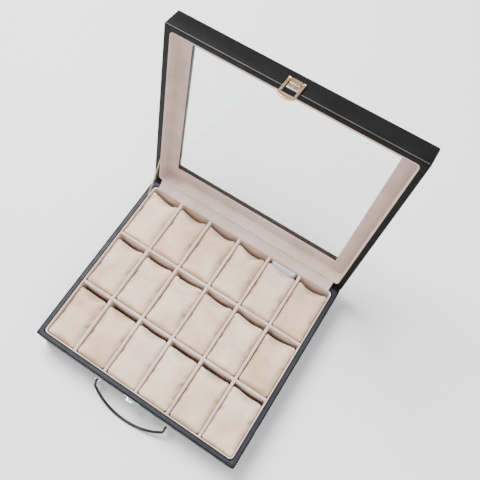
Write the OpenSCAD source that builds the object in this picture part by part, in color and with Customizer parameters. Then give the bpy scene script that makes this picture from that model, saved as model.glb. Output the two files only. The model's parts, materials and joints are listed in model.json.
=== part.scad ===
// Watch box with a glazed lid, standing open.
// Frame: X to the right, Y to the back, Z up. The origin is the centre of the base's underside.
// Lid parts are drawn closed, with z = 0 at the lid's rim, and lid_place() swings them open.

/* [Box] */
// Outside width, left to right
box_w = 330; // [300:1:360]
// Outside depth, front to back
box_d = 290; // [270:1:310]
// Height of the base, from the table to its rim
base_h = 54; // [50:1:64]
// Height of the lid, from its rim to its top face
lid_h = 28; // [26:1:34]
// How far the lid stands open, from closed
lid_open = 101; // [96:1:106]
// Gap between the two rims when the lid is shut
rim_gap = 0.6; // [0.5:0.1:1]

/* [Walls] */
// Thickness of the wall boards
board_t = 7; // [6:0.5:9]
// Thickness of the base board
bottom_t = 3; // [2:0.5:4]
// Thickness of the leather cover
leather_t = 1; // [0.8:0.1:1.2]
// Radius of the cover's upright corners
corner_r = 2; // [1.5:0.5:3]
// Thickness of the velvet-covered wall lining
lining_t = 2; // [1.5:0.5:3]
// Thickness of the lining on the floor
floor_t = 1; // [0.8:0.2:2]

/* [Compartments] */
// Compartments across the width
cols = 6; // [4:1:6]
// Compartments along the depth
rows = 3; // [2:1:3]
// Thickness of a divider
divider_t = 4.5; // [3:0.5:6]
// How far the dividers stop below the rim
divider_drop = 0.5; // [0:0.5:4]
// Space between a pillow and the dividers at each side
pillow_side_gap = 0.8; // [0.5:0.1:2]
// Length left free behind a pillow
pillow_end_gap = 8; // [6:0.5:12]
// Height of a pillow
pillow_h = 46; // [38:0.5:47]

/* [Window] */
// Width of the window's frame, from the lid's outside to the opening
frame_w = 28.5; // [26:0.5:40]
// Thickness of the glass
glass_t = 2; // [1.8:0.2:3]
// How far the glass reaches under its frame
glass_lap = 8; // [5:1:12]

/* [Latch] */
// Width of the latch loop
loop_w = 21.6; // [20:0.2:24]
// Width of each of the loop's arms
arm_w = 3; // [2.5:0.1:3.2]
// Height of the latch pin above the lid's rim
latch_pin_z = 12.5; // [12:0.5:14]
// How far the loop's window reaches past the lid's rim
loop_reach = 13.4; // [12:0.1:15]

/* [Handle] */
// Distance between the two handle brackets
bracket_span = 118; // [100:1:130]
// Height of the handle pins above the table
handle_pin_z = 26.2; // [26:0.1:27]
// How far the handle reaches from its pins, to its middle line
handle_reach = 32.9; // [32:0.1:33]
// Thickness of the wrapped handle
handle_d = 3.4; // [3:0.1:3.6]
// How far the handle hangs below level
handle_drop = 47; // [45:0.5:47]

/* [Hidden] */
$fn = 64;
eps = 0.01;
cut = 1; // how far a cutting shape runs past a face

half_w = box_w / 2;
half_d = box_d / 2;
wall_t = board_t + leather_t;
board_w = box_w - 2 * leather_t;
board_d = box_d - 2 * leather_t;
cavity_w = box_w - 2 * wall_t;
cavity_d = box_d - 2 * wall_t;
inner_w = cavity_w - 2 * lining_t;
inner_d = cavity_d - 2 * lining_t;
inner_r = 2.5;
bottom_cover_t = 1;
bottom_cover_r = 1;
skin_low = 0.5; // the leather stops this far above the table
board_low = bottom_cover_t + bottom_t;
floor_low = board_low;
floor_top = floor_low + floor_t;

comp_w = (inner_w - (cols - 1) * divider_t) / cols;
comp_d = (inner_d - (rows - 1) * divider_t) / rows;
divider_top = base_h - divider_drop;
divider_mid = (floor_top + divider_top) / 2;
divider_play = 0.2; // each half-lap slot is wider than a divider by this
pillow_front_gap = 1;
pillow_lift = 0.3;
pillow_r = 8;
pillow_end_r = 12;
pillow_sides = 12; // a pillow's round edges are drawn as flats of a circle with this many sides
pillow_w = comp_w - 2 * pillow_side_gap;
pillow_l = comp_d - pillow_end_gap - pillow_front_gap;

rail_low = 20.5; // underside of the window rails, in the lid
rail_top = lid_h - leather_t;
glass_play = 0.3;
glass_rise = 0.2; // room above the glass
glass_seat = glass_t + glass_rise;
window_w = box_w - 2 * frame_w;
window_d = box_d - 2 * frame_w;
cut_edge_w = window_w + 2 * leather_t;
cut_edge_d = window_d + 2 * leather_t;
glass_w = window_w + 2 * glass_lap;
glass_d = window_d + 2 * glass_lap;

hinge_out = 1.2; // from the back face to the hinge axis
hinge_y = half_d + hinge_out;
hinge_z = base_h + rim_gap / 2;
hinge_r = 1.8;
hinge_pin_r = 0.9;
hinge_bore_r = 0.95;
hinge_notch_r = 2.1;
hinge_w = 30;
hinge_x = 95;
knuckle_w = 9.8;
knuckle_pitch = (hinge_w - knuckle_w) / 2;
knuckle_gap = 0.3;
knuckle_play = 0.2;
leaf_t = 0.8;
leaf_d = 6.5;
leaf_gap = 0.02;

latch_pin_out = 2.4; // from the front face to the latch pin
latch_pin_y = -half_d - latch_pin_out;
latch_pin_r = 0.8;
latch_bore_r = 0.85;
latch_plate_w = 14.8;
latch_plate_low = 0.6;
latch_plate_top = 14.4;
latch_plate_t = 0.8;
latch_plate_r = 1;
latch_nail_z = [2.8, 8.8];
block_w = 13.2;
block_low = 5;
block_t = 3.2;
loop_out = 1.8; // from the front face to the loop
loop_y = -half_d - loop_out;
loop_t = 1.4;
loop_bar = 2; // the bar's depth at the arms
loop_bow = 4; // how much deeper it is in the middle
loop_lip = 1.4;
eye_r = 2.1;
nail_r = 0.65;
nail_hole_r = 0.7;
nail_head_r = 1.4;
nail_head_t = 0.7;
nail_head_play = 0.2;
nail_l = 4;

catch_w = 26;
catch_h = 10;
catch_t = 0.8;
catch_r = 1.2;
tongue_w = 13;
tongue_out = 6;
tongue_lip = 1.7;
tongue_hole_r = 0.9;
tongue_play = 0.7; // the loop's bar passes this far under the tongue's lip
tongue_top = base_h + rim_gap - loop_reach + tongue_play + tongue_lip;
catch_rise = 3; // the flange stands this far above the tongue
catch_top = tongue_top + catch_rise;
catch_nail_x = 10.5;
catch_nail_z = catch_top - catch_h / 2;

pin_out = 6; // from the front face to the handle pins
handle_pin_y = -half_d - pin_out;
handle_pin_r = 1.2;
handle_bore_r = 1.27;
handle_r = handle_d / 2;
handle_ball_r = handle_r + 0.05;
handle_ball_gap = 0.1; // each stretch stops this far from the middle of the ball that joins it
ear_t = 1.2;
ear_gap = 0.3;
ear_r = 2.4;
bracket_w = 12;
bracket_h = 14;
bracket_t = 1.2;
bracket_r = 2;
handle_eye_r = 3;
handle_eye_w = 3;
leg_l = 6;
handle_half = bracket_span / 2;
// The bow is one arc, and a small bend joins it to each leg
bend_r = 7;
bow_rise = handle_reach - leg_l;
bow_r = bow_radius(handle_half, bow_rise, bend_r);
bow_angle = acos((handle_half - bend_r) / (bow_r - bend_r));

cloth_t = 0.8;
cloth_w = 300;
ribbon_t = 0.6;
ribbon_w = 4;
ribbon_off = 3; // the ribbon's ends stop this far from the rims
ribbon_x = -half_w + wall_t + 1;
ribbon_base_y = half_d - 28;
ribbon_lid_y = half_d - 52;
soft_gap = 0.4;
sachet = [40, 2, 24];
sachet_drop = 15; // its middle lies this far below the rim
sachet_tilt = 13;
sachet_col = cols - 2;

leather = "#1b1b1e";
velvet = "#dccdc3";
suede = "#ddd0c2";
mdf = "#b58f63";
steel = "#d5d6d8";
gold = "#c9a477";

function pillow_name(i, j) = str("pillow_c", i + 1, "_r", j + 1);
function comp_x(i) = -inner_w / 2 + comp_w / 2 + i * (comp_w + divider_t);
function comp_y(j) = -inner_d / 2 + comp_d / 2 + j * (comp_d + divider_t);
// Radius of the arc that touches both bends of radius b, for half span h and rise s
function bow_radius(h, s, b) = (pow(h - b, 2) + pow(s, 2) - pow(b, 2)) / (2 * (s - b));
// Where a point of the closed lid stands once the lid is open
function opened(y, z) = let (dy = y - hinge_y, dz = z + rim_gap / 2)
    [hinge_y + dy * cos(lid_open) + dz * sin(lid_open),
     hinge_z - dy * sin(lid_open) + dz * cos(lid_open)];

PILLOWS = [for (i = [0:cols - 1], j = [0:rows - 1]) pillow_name(i, j)];
LONG_DIVIDERS = [for (i = [1:cols - 1]) str("long_divider_", i)];
CROSS_DIVIDERS = [for (j = [1:rows - 1]) str("cross_divider_", j)];

// ---- shared shapes ----

module rounded_rect(w, d, r) {
    square([w - 2 * r, d], center = true);
    square([w, d - 2 * r], center = true);
    for (x = [-1, 1], y = [-1, 1])
        translate([x * (w / 2 - r), y * (d / 2 - r)])
            circle(r);
}

module plate(w, d, low, high) {
    translate([-w / 2, -d / 2, low])
        cube([w, d, high - low]);
}

module rounded_plate(w, d, r, low, high) {
    translate([0, 0, low])
        linear_extrude(high - low)
            rounded_rect(w, d, r);
}

// Cylinder along X, centred on x
module x_cylinder(r, l, x, y, z) {
    translate([x, y, z])
        rotate([0, 90, 0])
            cylinder(h = l, r = r, center = true);
}

// Cylinder along Y, from y to y + l
module y_cylinder(r, l, x, y, z) {
    translate([x, y, z])
        rotate([-90, 0, 0])
            cylinder(h = l, r = r);
}

module lid_place() {
    translate([0, hinge_y, hinge_z])
        rotate([-lid_open, 0, 0])
            translate([0, -hinge_y, rim_gap / 2])
                children();
}

// Hinge pockets in a rim; z is the hinge axis seen from that rim's own frame
module hinge_pockets(z, leaf_low) {
    for (x = [-hinge_x, hinge_x]) {
        x_cylinder(hinge_notch_r, hinge_w + 2 * knuckle_gap, x, hinge_y, z);
        translate([x - hinge_w / 2 - knuckle_gap, hinge_y - leaf_d - knuckle_gap, leaf_low])
            cube([hinge_w + 2 * knuckle_gap, leaf_d + cut, leaf_t]);
    }
}

// ---- base ----

module base_bottom_cover() {
    color(leather)
        rounded_plate(board_w, board_d, bottom_cover_r, 0, bottom_cover_t);
}

module base_bottom_board() {
    color(mdf)
        plate(board_w, board_d, bottom_cover_t, board_low);
}

// Front and back boards run the full width; the side boards stand between them
module long_board(low, high, side) {
    translate([0, side * (cavity_d + board_t) / 2, 0])
        plate(board_w, board_t, low, high);
}

module short_board(low, high, side) {
    translate([side * (cavity_w + board_t) / 2, 0, 0])
        plate(board_t, cavity_d, low, high);
}

module catch_nail_holes() {
    for (x = [-catch_nail_x, catch_nail_x])
        y_cylinder(nail_hole_r, nail_l + cut, x, -half_d - cut, catch_nail_z);
}

module base_front_board() {
    color(mdf)
        difference() {
            long_board(board_low, base_h - leather_t, -1);
            catch_nail_holes();
        }
}

module base_back_board() {
    color(mdf)
        long_board(board_low, base_h - leather_t, 1);
}

module base_left_board() {
    color(mdf)
        short_board(board_low, base_h - leather_t, -1);
}

module base_right_board() {
    color(mdf)
        short_board(board_low, base_h - leather_t, 1);
}

module base_leather_cover() {
    color(leather)
        difference() {
            rounded_plate(box_w, box_d, corner_r, skin_low, base_h);
            plate(board_w, board_d, -cut, base_h - leather_t);
            plate(cavity_w, cavity_d, -cut, base_h + cut);
            hinge_pockets(hinge_z, hinge_z - leaf_t);
            catch_nail_holes();
        }
}

module base_floor_lining() {
    color(velvet)
        plate(cavity_w, cavity_d, floor_low, floor_top);
}

// A ring of lining inside the walls, with rounded inner corners
module wall_lining(low, high) {
    difference() {
        plate(cavity_w, cavity_d, low, high);
        rounded_plate(inner_w, inner_d, inner_r, low - cut, high + cut);
    }
}

module base_wall_lining() {
    color(velvet)
        wall_lining(floor_top, base_h);
}

// ---- dividers: half-lapped, the long ones slotted from above ----

module long_divider(i) {
    color(velvet)
        difference() {
            translate([comp_x(i) - (comp_w + divider_t) / 2, 0, 0])
                plate(divider_t, inner_d, floor_top, divider_top);
            for (j = [1:rows - 1])
                translate([0, comp_y(j) - (comp_d + divider_t) / 2, 0])
                    plate(box_w, divider_t + divider_play, divider_mid, divider_top + cut);
        }
}

module cross_divider(j) {
    color(velvet)
        difference() {
            translate([0, comp_y(j) - (comp_d + divider_t) / 2, 0])
                plate(inner_w, divider_t, floor_top, divider_top);
            for (i = [1:cols - 1])
                translate([comp_x(i) - (comp_w + divider_t) / 2, 0, 0])
                    plate(divider_t + divider_play, box_d, floor_top - cut, divider_mid);
        }
}

// ---- pillows ----

module pillow(i, j) {
    front = comp_y(j) - comp_d / 2 + pillow_front_gap;
    color(suede)
        translate([comp_x(i), front + pillow_l / 2, floor_top + pillow_lift])
            intersection() {
                translate([0, pillow_l / 2, pillow_h / 2])
                    rotate([90, 0, 0])
                        linear_extrude(pillow_l)
                            rounded_rect(pillow_w, pillow_h, pillow_r, $fn = pillow_sides);
                translate([-pillow_w / 2, 0, pillow_h / 2])
                    rotate([90, 0, 90])
                        linear_extrude(pillow_w)
                            rounded_rect(pillow_l, pillow_h, pillow_end_r, $fn = pillow_sides);
            }
}

module desiccant_sachet() {
    color("#d7dbe8")
        translate([comp_x(sachet_col), inner_d / 2 - pillow_end_gap / 2, base_h - sachet_drop])
            rotate([-sachet_tilt, 0, 0])
                cube(sachet, center = true);
}

// ---- catch on the base ----

module nail(x, y, z) {
    y_cylinder(nail_r, nail_l, x, y, z);
    y_cylinder(nail_head_r, nail_head_t, x, y - nail_head_t, z);
}

module catch_plate() {
    color(steel)
        difference() {
            union() {
                translate([0, -half_d, catch_top - catch_h / 2])
                    rotate([90, 0, 0])
                        rounded_plate(catch_w, catch_h, catch_r, 0, catch_t);
                translate([-tongue_w / 2, -half_d - tongue_out, tongue_top - catch_t])
                    cube([tongue_w, tongue_out - catch_t / 2, catch_t]);
                translate([-tongue_w / 2, -half_d - tongue_out, tongue_top - tongue_lip])
                    cube([tongue_w, catch_t, tongue_lip]);
            }
            catch_nail_holes();
            translate([0, -half_d - tongue_out / 2, tongue_top - 2 * catch_t])
                cylinder(h = 3 * catch_t, r = tongue_hole_r);
        }
}

module catch_nails() {
    color(steel)
        for (x = [-catch_nail_x, catch_nail_x])
            nail(x, -half_d - catch_t, catch_nail_z);
}

// ---- handle ----

module bracket(x) {
    ear_x = handle_r + ear_gap + ear_t / 2;
    difference() {
        union() {
            translate([x, -half_d, handle_pin_z])
                rotate([90, 0, 0])
                    rounded_plate(bracket_w, bracket_h, bracket_r, 0, bracket_t);
            for (s = [-1, 1]) {
                translate([x + s * ear_x - ear_t / 2, handle_pin_y, handle_pin_z - ear_r])
                    cube([ear_t, pin_out - bracket_t / 2, 2 * ear_r]);
                x_cylinder(ear_r, ear_t, x + s * ear_x, handle_pin_y, handle_pin_z);
            }
        }
        x_cylinder(handle_pin_r, bracket_w, x, handle_pin_y, handle_pin_z);
    }
}

module handle_brackets() {
    color(steel)
        for (x = [-handle_half, handle_half])
            bracket(x);
}

module handle_pins() {
    pin_l = 2 * (handle_r + ear_gap + ear_t);
    color(steel)
        for (x = [-handle_half, handle_half])
            x_cylinder(handle_pin_r, pin_l, x, handle_pin_y, handle_pin_z);
}

// Arc of the handle's round section, in the XY plane: radius r, from angle a, through b degrees
module tube_arc(r, a, b) {
    trim = asin(handle_ball_gap / r);
    rotate([0, 0, a + trim])
        rotate_extrude(angle = b - 2 * trim)
            translate([r, 0])
                circle(handle_r);
}

// One end of the handle, on side s: eye, leg, and the balls at each end of its bend
module handle_end(s) {
    bend_x = handle_half - bend_r * (1 - cos(bow_angle));
    x_cylinder(handle_eye_r, handle_eye_w, s * handle_half, 0, 0);
    y_cylinder(handle_r, leg_l - handle_ball_gap, s * handle_half, 0, 0);
    translate([s * handle_half, leg_l, 0])
        sphere(handle_ball_r);
    translate([s * bend_x, leg_l + bend_r * sin(bow_angle), 0])
        sphere(handle_ball_r);
}

// Drawn reaching along +Y from the pins
module handle_shape() {
    difference() {
        union() {
            handle_end(-1);
            handle_end(1);
            translate([handle_half - bend_r, leg_l, 0])
                tube_arc(bend_r, 0, bow_angle);
            translate([-handle_half + bend_r, leg_l, 0])
                tube_arc(bend_r, 180 - bow_angle, bow_angle);
            translate([0, handle_reach - bow_r, 0])
                tube_arc(bow_r, bow_angle, 180 - 2 * bow_angle);
        }
        for (s = [-1, 1])
            x_cylinder(handle_bore_r, handle_d + cut, s * handle_half, 0, 0);
    }
}

module handle() {
    color(leather)
        translate([0, handle_pin_y, handle_pin_z])
            rotate([180 + handle_drop, 0, 0])
                handle_shape();
}

// ---- hinges ----

// own: places of the leaf's knuckles along X; others: places of the other leaf's knuckles
module leaf(z, own, others) {
    difference() {
        union() {
            translate([-hinge_w / 2, hinge_y - leaf_d, z])
                cube([hinge_w, leaf_d, leaf_t - leaf_gap]);
            for (x = own)
                x_cylinder(hinge_r, knuckle_w, x, hinge_y, hinge_z);
        }
        x_cylinder(hinge_bore_r, hinge_w + cut, 0, hinge_y, hinge_z);
        for (x = others)
            x_cylinder(hinge_r + knuckle_play, knuckle_w + 2 * knuckle_gap, x, hinge_y, hinge_z);
    }
}

module hinge_base_leaves() {
    color(gold)
        for (x = [-hinge_x, hinge_x])
            translate([x, 0, 0])
                leaf(hinge_z - leaf_t, [-knuckle_pitch, knuckle_pitch], [0]);
}

module hinge_lid_leaves() {
    color(gold)
        lid_place()
            for (x = [-hinge_x, hinge_x])
                translate([x, 0, -hinge_z - rim_gap / 2])
                    leaf(hinge_z + leaf_gap, [0], [-knuckle_pitch, knuckle_pitch]);
}

module hinge_pins() {
    color(steel)
        for (x = [-hinge_x, hinge_x])
            x_cylinder(hinge_pin_r, hinge_w, x, hinge_y, hinge_z);
}

// ---- soft pieces that bridge the hinge ----

// Strip of thickness t in the YZ plane, from point a to point b
module strip(a, b, t, w) {
    run = b - a;
    translate([0, a[0], a[1]])
        rotate([atan2(run[1], run[0]), 0, 0])
            translate([-w / 2, 0, -t / 2])
                cube([w, norm(run), t]);
}

module hinge_cloth() {
    lining_mid = cavity_d / 2 - lining_t / 2;
    color(velvet)
        strip([lining_mid, base_h + 2 * soft_gap], opened(lining_mid, -2 * soft_gap), cloth_t,
              cloth_w);
}

module stay_ribbon() {
    from = [ribbon_base_y, base_h + ribbon_off];
    to = opened(ribbon_lid_y, -ribbon_off);
    color("#cfc4a8")
        translate([ribbon_x, 0, 0])
            strip(from, to, ribbon_w, ribbon_t);
}

// ---- lid ----

module latch_nail_holes() {
    for (z = latch_nail_z)
        y_cylinder(nail_hole_r, nail_l + cut, 0, -half_d - cut, z);
}

module lid_front_board() {
    color(mdf)
        lid_place()
            difference() {
                long_board(leather_t, rail_top, -1);
                latch_nail_holes();
            }
}

module lid_back_board() {
    color(mdf)
        lid_place()
            long_board(leather_t, rail_top, 1);
}

module lid_left_board() {
    color(mdf)
        lid_place()
            short_board(leather_t, rail_top, -1);
}

module lid_right_board() {
    color(mdf)
        lid_place()
            short_board(leather_t, rail_top, 1);
}

// The glass lies in a rebate under the rails
module glass_rebate() {
    plate(glass_w + 2 * glass_play, glass_d + 2 * glass_play, rail_low - cut,
          rail_low + glass_seat);
}

module window_long_rails() {
    rail_d = (cavity_d - cut_edge_d) / 2;
    color(mdf)
        lid_place()
            difference() {
                for (side = [-1, 1])
                    translate([0, side * (cavity_d - rail_d) / 2, 0])
                        plate(cavity_w, rail_d, rail_low, rail_top);
                glass_rebate();
            }
}

module window_short_rails() {
    rail_w = (cavity_w - cut_edge_w) / 2;
    color(mdf)
        lid_place()
            difference() {
                for (side = [-1, 1])
                    translate([side * (cavity_w - rail_w) / 2, 0, 0])
                        plate(rail_w, cut_edge_d, rail_low, rail_top);
                glass_rebate();
            }
}

module glass_pane() {
    color("#c8d4d6", 0.4)
        lid_place()
            plate(glass_w, glass_d, rail_low, rail_low + glass_t);
}

module lid_wall_lining() {
    color(velvet)
        lid_place()
            wall_lining(0, rail_low);
}

module window_frame_lining() {
    color(velvet)
        lid_place()
            difference() {
                rounded_plate(inner_w, inner_d, inner_r, rail_low - lining_t, rail_low);
                plate(window_w, window_d, 0, lid_h);
            }
}

module lid_leather_cover() {
    color(leather)
        lid_place()
            difference() {
                union() {
                    difference() {
                        rounded_plate(box_w, box_d, corner_r, 0, lid_h);
                        plate(board_w, board_d, leather_t, rail_top);
                        plate(cavity_w, cavity_d, -cut, rail_top);
                    }
                    plate(cut_edge_w, cut_edge_d, rail_low + glass_seat, lid_h);
                }
                plate(window_w, window_d, 0, lid_h + cut);
                hinge_pockets(-rim_gap / 2, -rim_gap / 2);
                latch_nail_holes();
            }
}

// ---- latch on the lid ----

module latch_plate() {
    mid = (latch_plate_low + latch_plate_top) / 2;
    color(steel)
        lid_place()
            difference() {
                translate([0, -half_d, mid])
                    rotate([90, 0, 0])
                        rounded_plate(latch_plate_w, latch_plate_top - latch_plate_low,
                                      latch_plate_r, 0, latch_plate_t);
                latch_nail_holes();
            }
}

// Solid block that carries the pin; its top edge is round about the pin
module latch_block() {
    back = -half_d - latch_plate_t;
    color(gold)
        lid_place()
            difference() {
                union() {
                    translate([-block_w / 2, back - block_t, block_low])
                        cube([block_w, block_t, latch_pin_z - block_low]);
                    x_cylinder(block_t / 2, block_w, 0, latch_pin_y, latch_pin_z);
                }
                x_cylinder(latch_bore_r, block_w + cut, 0, latch_pin_y, latch_pin_z);
                y_cylinder(nail_head_r + nail_head_play, nail_head_t + cut, 0,
                           back - nail_head_t - nail_head_play / 2, latch_nail_z[1]);
            }
}

module latch_nails() {
    color(steel)
        lid_place()
            for (z = latch_nail_z)
                nail(0, -half_d - latch_plate_t, z);
}

module latch_pin() {
    color(gold)
        lid_place()
            x_cylinder(latch_pin_r, loop_w, 0, latch_pin_y, latch_pin_z);
}

// Two arms from the pin down to a bar whose lower edge is an arc
module latch_loop() {
    arm_x = (loop_w - arm_w) / 2;
    bar_h = loop_bar + loop_bow;
    bar_r = (pow(loop_w / 2, 2) + pow(loop_bow, 2)) / (2 * loop_bow);
    front = loop_y - loop_t - loop_lip;
    color(gold)
        lid_place()
            difference() {
                union() {
                    for (s = [-1, 1]) {
                        translate([s * arm_x - arm_w / 2, loop_y - loop_t, -loop_reach - eps])
                            cube([arm_w, loop_t, latch_pin_z + loop_reach + eps]);
                        x_cylinder(eye_r, arm_w, s * arm_x, latch_pin_y, latch_pin_z);
                    }
                    intersection() {
                        translate([-loop_w / 2, front, -loop_reach - bar_h])
                            cube([loop_w, loop_t + loop_lip, bar_h]);
                        y_cylinder(bar_r, loop_t + loop_lip, 0, front, bar_r - loop_reach - bar_h);
                    }
                }
                x_cylinder(latch_bore_r, loop_w + cut, 0, latch_pin_y, latch_pin_z);
            }
}

for (i = [0:cols - 1], j = [0:rows - 1])
    pillow(i, j);
for (i = [1:cols - 1])
    long_divider(i);
for (j = [1:rows - 1])
    cross_divider(j);
base_bottom_cover();
base_bottom_board();
base_front_board();
base_back_board();
base_left_board();
base_right_board();
base_leather_cover();
base_floor_lining();
base_wall_lining();
catch_plate();
catch_nails();
handle_brackets();
handle_pins();
handle();
hinge_base_leaves();
hinge_lid_leaves();
hinge_pins();
hinge_cloth();
stay_ribbon();
desiccant_sachet();
lid_front_board();
lid_back_board();
lid_left_board();
lid_right_board();
window_long_rails();
window_short_rails();
glass_pane();
lid_wall_lining();
window_frame_lining();
lid_leather_cover();
latch_plate();
latch_block();
latch_nails();
latch_pin();
latch_loop();
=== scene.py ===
"""Looks of the watch box: leather, velvet, stuffed pillows, plated hardware and clear glass."""

import json
import math
import random

import bmesh
import bpy
import numpy as np
from mathutils import Matrix, Vector, noise


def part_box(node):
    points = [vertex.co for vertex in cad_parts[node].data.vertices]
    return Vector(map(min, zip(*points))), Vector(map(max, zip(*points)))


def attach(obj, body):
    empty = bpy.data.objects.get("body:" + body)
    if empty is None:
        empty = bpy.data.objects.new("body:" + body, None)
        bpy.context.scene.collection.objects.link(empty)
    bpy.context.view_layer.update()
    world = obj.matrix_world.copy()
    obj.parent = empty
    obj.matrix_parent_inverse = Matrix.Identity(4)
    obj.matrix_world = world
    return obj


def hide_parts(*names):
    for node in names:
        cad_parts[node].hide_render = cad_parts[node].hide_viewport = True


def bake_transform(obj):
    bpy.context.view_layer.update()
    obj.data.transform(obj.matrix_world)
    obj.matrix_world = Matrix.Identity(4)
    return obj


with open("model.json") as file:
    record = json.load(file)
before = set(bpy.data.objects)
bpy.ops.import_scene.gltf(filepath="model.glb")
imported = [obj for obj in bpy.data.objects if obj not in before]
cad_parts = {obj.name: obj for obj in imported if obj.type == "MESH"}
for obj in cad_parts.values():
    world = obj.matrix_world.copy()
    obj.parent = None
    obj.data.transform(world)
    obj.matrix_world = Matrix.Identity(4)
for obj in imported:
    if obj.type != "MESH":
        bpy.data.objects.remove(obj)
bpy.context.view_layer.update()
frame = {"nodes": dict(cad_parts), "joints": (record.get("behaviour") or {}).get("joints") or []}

MM = 0.001


# ---- places and sizes, read from the frame ----

def joint(name):
    return next(j for j in frame["joints"] if j["name"] == name)


def node_points(node, place=None):
    """A CAD node's vertices, seen from the frame that place puts it in."""
    back = place.inverted() if place else Matrix.Identity(4)
    return np.array([back @ v.co for v in frame["nodes"][node].data.vertices])


HINGE = Vector(joint("lid_hinge")["pos_m"])
LID_OPEN = math.radians(-joint("lid_hinge")["range_deg"][0])
BASE_LOW, BASE_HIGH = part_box("base_leather_cover")
FLOOR_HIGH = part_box("base_floor_lining")[1]
HALF_W, HALF_D, RIM_Z = BASE_HIGH
WALL = HALF_W - FLOOR_HIGH.x
LINING = FLOOR_HIGH.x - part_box("cross_divider_1")[1].x
HALF_GAP = HINGE.z - RIM_Z

# The lid's own frame: closed, with z = 0 at its rim. LID_PLACE swings it to where it stands.
LID_PLACE = (
    Matrix.Translation(HINGE)
    @ Matrix.Rotation(-LID_OPEN, 4, "X")
    @ Matrix.Translation((0, -HINGE.y, HALF_GAP))
)
LID_H = float(node_points("lid_leather_cover", LID_PLACE)[:, 2].max())
FRAME_LINING = node_points("window_frame_lining", LID_PLACE)
FRAME_LOW, FRAME_HIGH = (float(z) for z in (FRAME_LINING[:, 2].min(), FRAME_LINING[:, 2].max()))
WINDOW_W = float(np.abs(FRAME_LINING[:, 0]).min())  # from the middle to the opening's side
GLASS_TOP = float(node_points("glass_pane", LID_PLACE)[:, 2].max())


# ---- meshes ----

def rounded_profile(points, steps=4):
    """A closed outline in (across, up) with rounded corners; points holds (across, up, radius)."""
    outline = []
    for i, (x, z, r) in enumerate(points):
        here = Vector((x, z))
        if r == 0:
            outline.append(here)
            continue
        before = (Vector(points[i - 1][:2]) - here).normalized()
        after = (Vector(points[(i + 1) % len(points)][:2]) - here).normalized()
        half = before.angle(after) / 2
        start, end = here + before * r / math.tan(half), here + after * r / math.tan(half)
        middle = here + (before + after).normalized() * r / math.sin(half)
        first, last = start - middle, end - middle
        turn = first.angle_signed(last)
        for k in range(steps + 1):
            outline.append(middle + Matrix.Rotation(-turn * k / steps, 2) @ first)
    return outline


def rounded_path(half_w, half_d, r, corner_steps=6, side_steps=24):
    """Points round a rectangle with rounded corners, as many on every such path."""
    points = []
    corners = [(1, 1), (-1, 1), (-1, -1), (1, -1)]
    for n, (sx, sy) in enumerate(corners):
        middle = Vector((sx * (half_w - r), sy * (half_d - r)))
        for k in range(corner_steps + 1):
            a = math.radians(90) * (n + k / corner_steps)
            points.append(middle + r * Vector((math.cos(a), math.sin(a))))
        nx, ny = corners[(n + 1) % 4]
        turn = Vector((math.cos(math.radians(90) * (n + 1)), math.sin(math.radians(90) * (n + 1))))
        start = points[-1]
        end = Vector((nx * (half_w - r), ny * (half_d - r))) + r * turn
        points += [start.lerp(end, k / side_steps) for k in range(1, side_steps)]
    return points


def grid_faces(rows, columns, wrap_rows=False):
    """Quads over rows of points, each row closed on itself."""
    faces = []
    for i in range(rows if wrap_rows else rows - 1):
        for j in range(columns):
            a, b = i * columns, ((i + 1) % rows) * columns
            k = (j + 1) % columns
            faces.append((a + j, a + k, b + k, b + j))
    return faces


def mesh_from(name, points, faces, sharp=40):
    mesh = bpy.data.meshes.new(name)
    mesh.from_pydata([tuple(p) for p in points], [], faces)
    return finished(mesh, sharp)


def finished(mesh, sharp=40):
    """Merges doubles, turns faces outwards, and shades smooth up to the angle sharp."""
    bm = bmesh.new()
    bm.from_mesh(mesh)
    bmesh.ops.remove_doubles(bm, verts=bm.verts, dist=1e-6)
    bmesh.ops.recalc_face_normals(bm, faces=bm.faces)
    bm.to_mesh(mesh)
    bm.free()
    mesh.shade_smooth()
    mesh.set_sharp_from_angle(angle=math.radians(sharp))
    return mesh


def ring_mesh(name, half_w, half_d, profile, radius_at):
    """A closed band round a rectangle; profile holds (inset, height), and radius_at rounds it."""
    points = []
    for inset, height in profile:
        path = rounded_path(half_w - inset, half_d - inset, radius_at(inset))
        points += [(p.x, p.y, height) for p in path]
    return mesh_from(name, points, grid_faces(len(profile), len(path), wrap_rows=True))


def bar_mesh(name, profile, start, end, axis, steps=40):
    """A closed bar along axis 0 or 1, whose outline is profile, in (across, up)."""
    points = []
    for k in range(steps + 1):
        at = start + (end - start) * k / steps
        points += [(at, a, u) if axis == 0 else (a, at, u) for a, u in profile]
    n = len(profile)
    faces = grid_faces(steps + 1, n)
    faces += [tuple(range(n)), tuple(range(steps * n, (steps + 1) * n))]
    return mesh_from(name, points, faces)


def plate_mesh(name, outlines, thickness, bevel):
    """A flat plate in XY with rounded edges; the first outline is its edge, the rest are holes."""
    curve = bpy.data.curves.new(name, "CURVE")
    curve.dimensions = "2D"
    curve.fill_mode = "BOTH"
    curve.extrude = thickness / 2 - bevel
    curve.bevel_depth = bevel
    curve.bevel_resolution = 3
    curve.offset = -bevel
    for outline in outlines:
        spline = curve.splines.new("POLY")
        spline.points.add(len(outline) - 1)
        for point, (x, y) in zip(spline.points, outline):
            point.co = (x, y, 0, 1)
        spline.use_cyclic_u = True
    shape = bpy.data.objects.new(name, curve)
    bpy.context.scene.collection.objects.link(shape)
    graph = bpy.context.evaluated_depsgraph_get()
    mesh = bpy.data.meshes.new_from_object(shape.evaluated_get(graph), depsgraph=graph)
    bpy.data.objects.remove(shape)
    bpy.data.curves.remove(curve)
    return finished(mesh)


def arc(middle, r, start, end, steps=10):
    """Points of an arc, with its angles in degrees."""
    turns = [math.radians(start + (end - start) * k / steps) for k in range(steps + 1)]
    return [(middle[0] + r * math.cos(a), middle[1] + r * math.sin(a)) for a in turns]


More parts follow.
